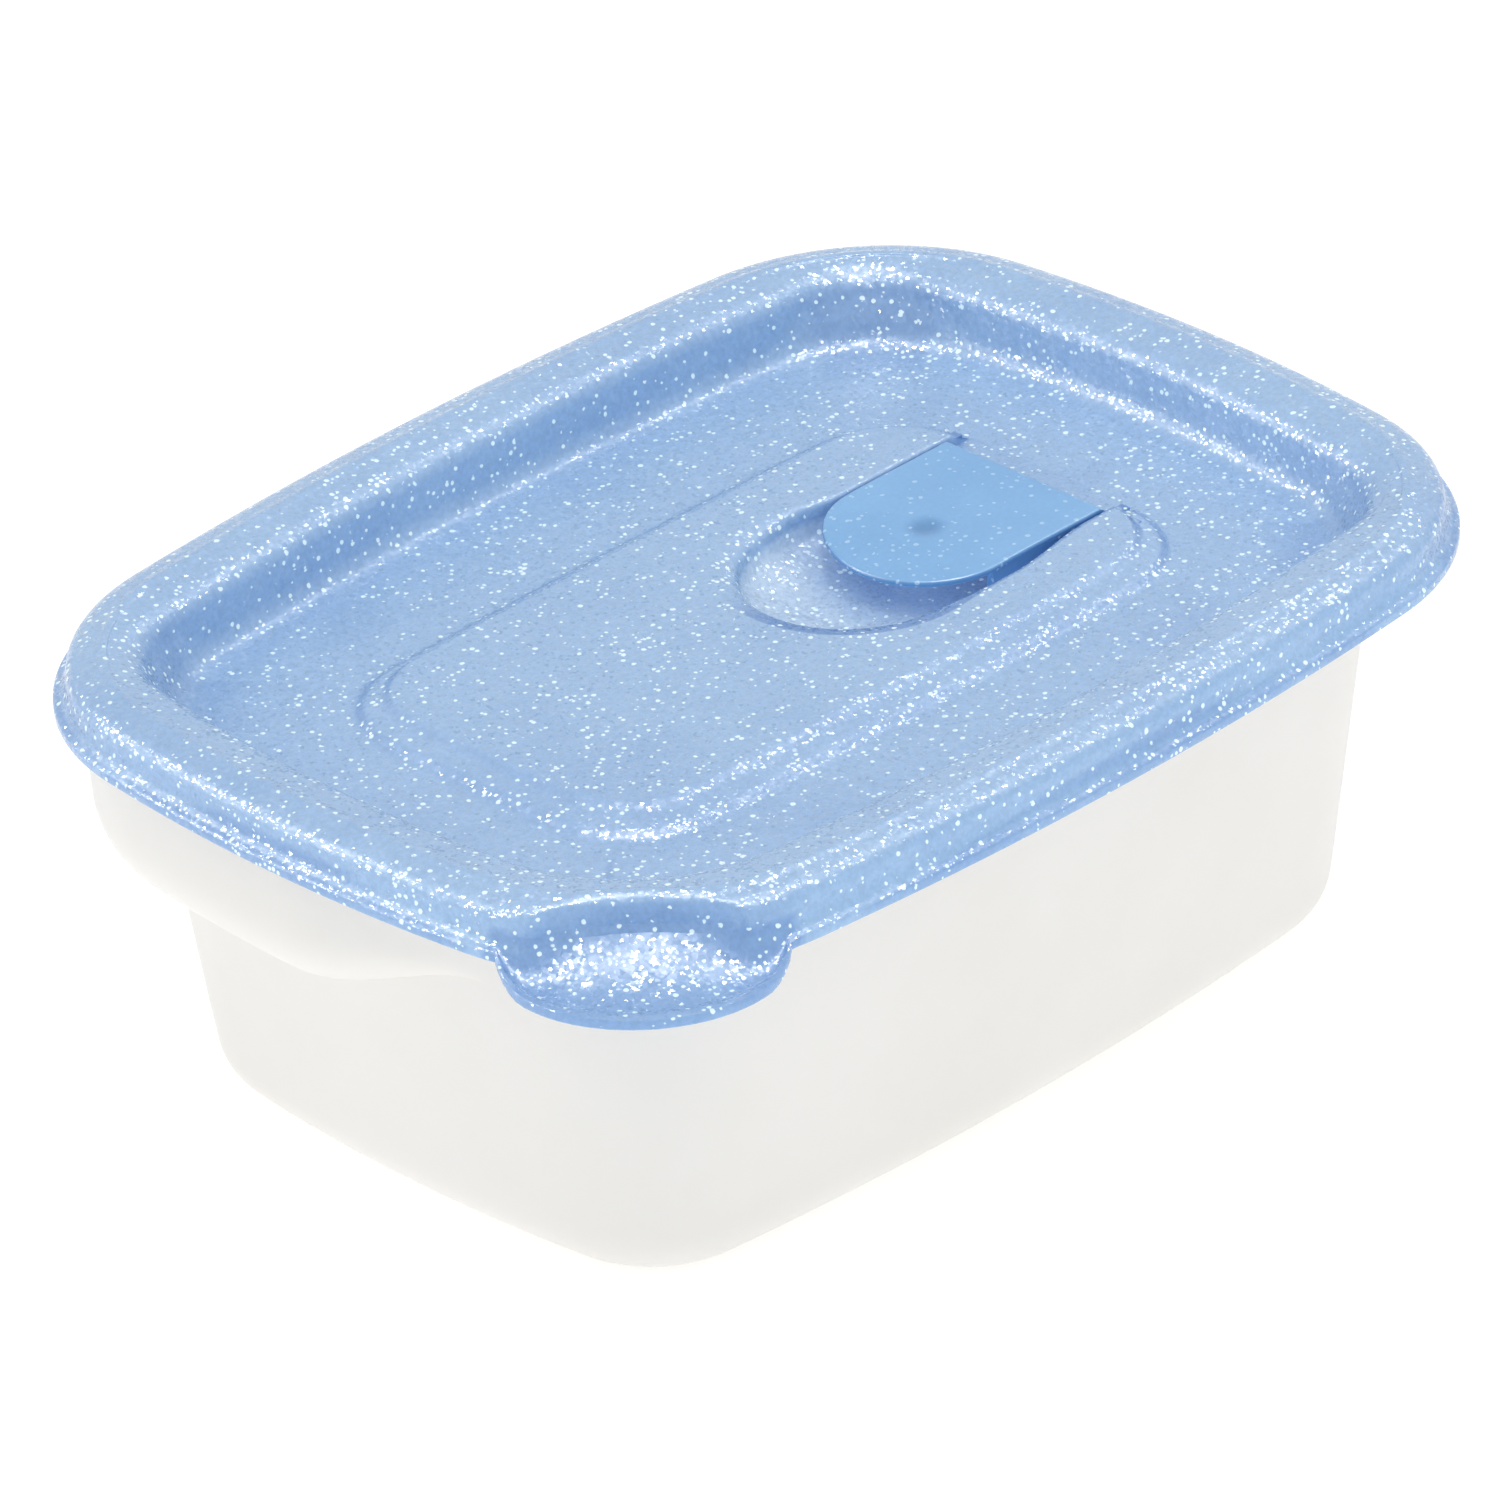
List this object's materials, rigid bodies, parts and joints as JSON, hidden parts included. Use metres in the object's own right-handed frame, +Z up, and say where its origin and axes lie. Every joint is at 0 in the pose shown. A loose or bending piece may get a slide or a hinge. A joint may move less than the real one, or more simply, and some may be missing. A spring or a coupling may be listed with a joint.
{
  "type": "snap lid food container",
  "caption": "Small rectangular food container: milky tub with a shouldered end, frosted blue snap lid with a corner pull tab and a pivoting vent flap over a finger scoop.",
  "frame": {"origin": "centre of the bounding box on the plane the tub stands on", "axes": "+X along the length towards the vent flap's hinge, +Y across, +Z up; the pull tab is at the -X -Y corner"},
  "size_m": [0.156, 0.119, 0.0575],
  "materials": {
    "milky_plastic": "milky translucent, satin",
    "frosted_blue_plastic": "fine grained, frosted translucent blue",
    "valve_blue_plastic": "smooth translucent blue"
  },
  "bodies": {
    "tub": {"tub": "milky_plastic"},
    "lid": {"lid": "frosted_blue_plastic"},
    "valve_flap": {"valve_flap": "valve_blue_plastic"}
  },
  "joints": [
    {"name": "lid_lift", "type": "slide", "parent": "tub", "child": "lid", "axis": [0, 0, 1], "range_m": [0, 0.1]},
    {"name": "flap_hinge", "type": "hinge", "parent": "lid", "child": "valve_flap", "pos_m": [0.0428, 0, 0.049], "axis": [0, 1, 0], "range_deg": [0, 110]}
  ]
}
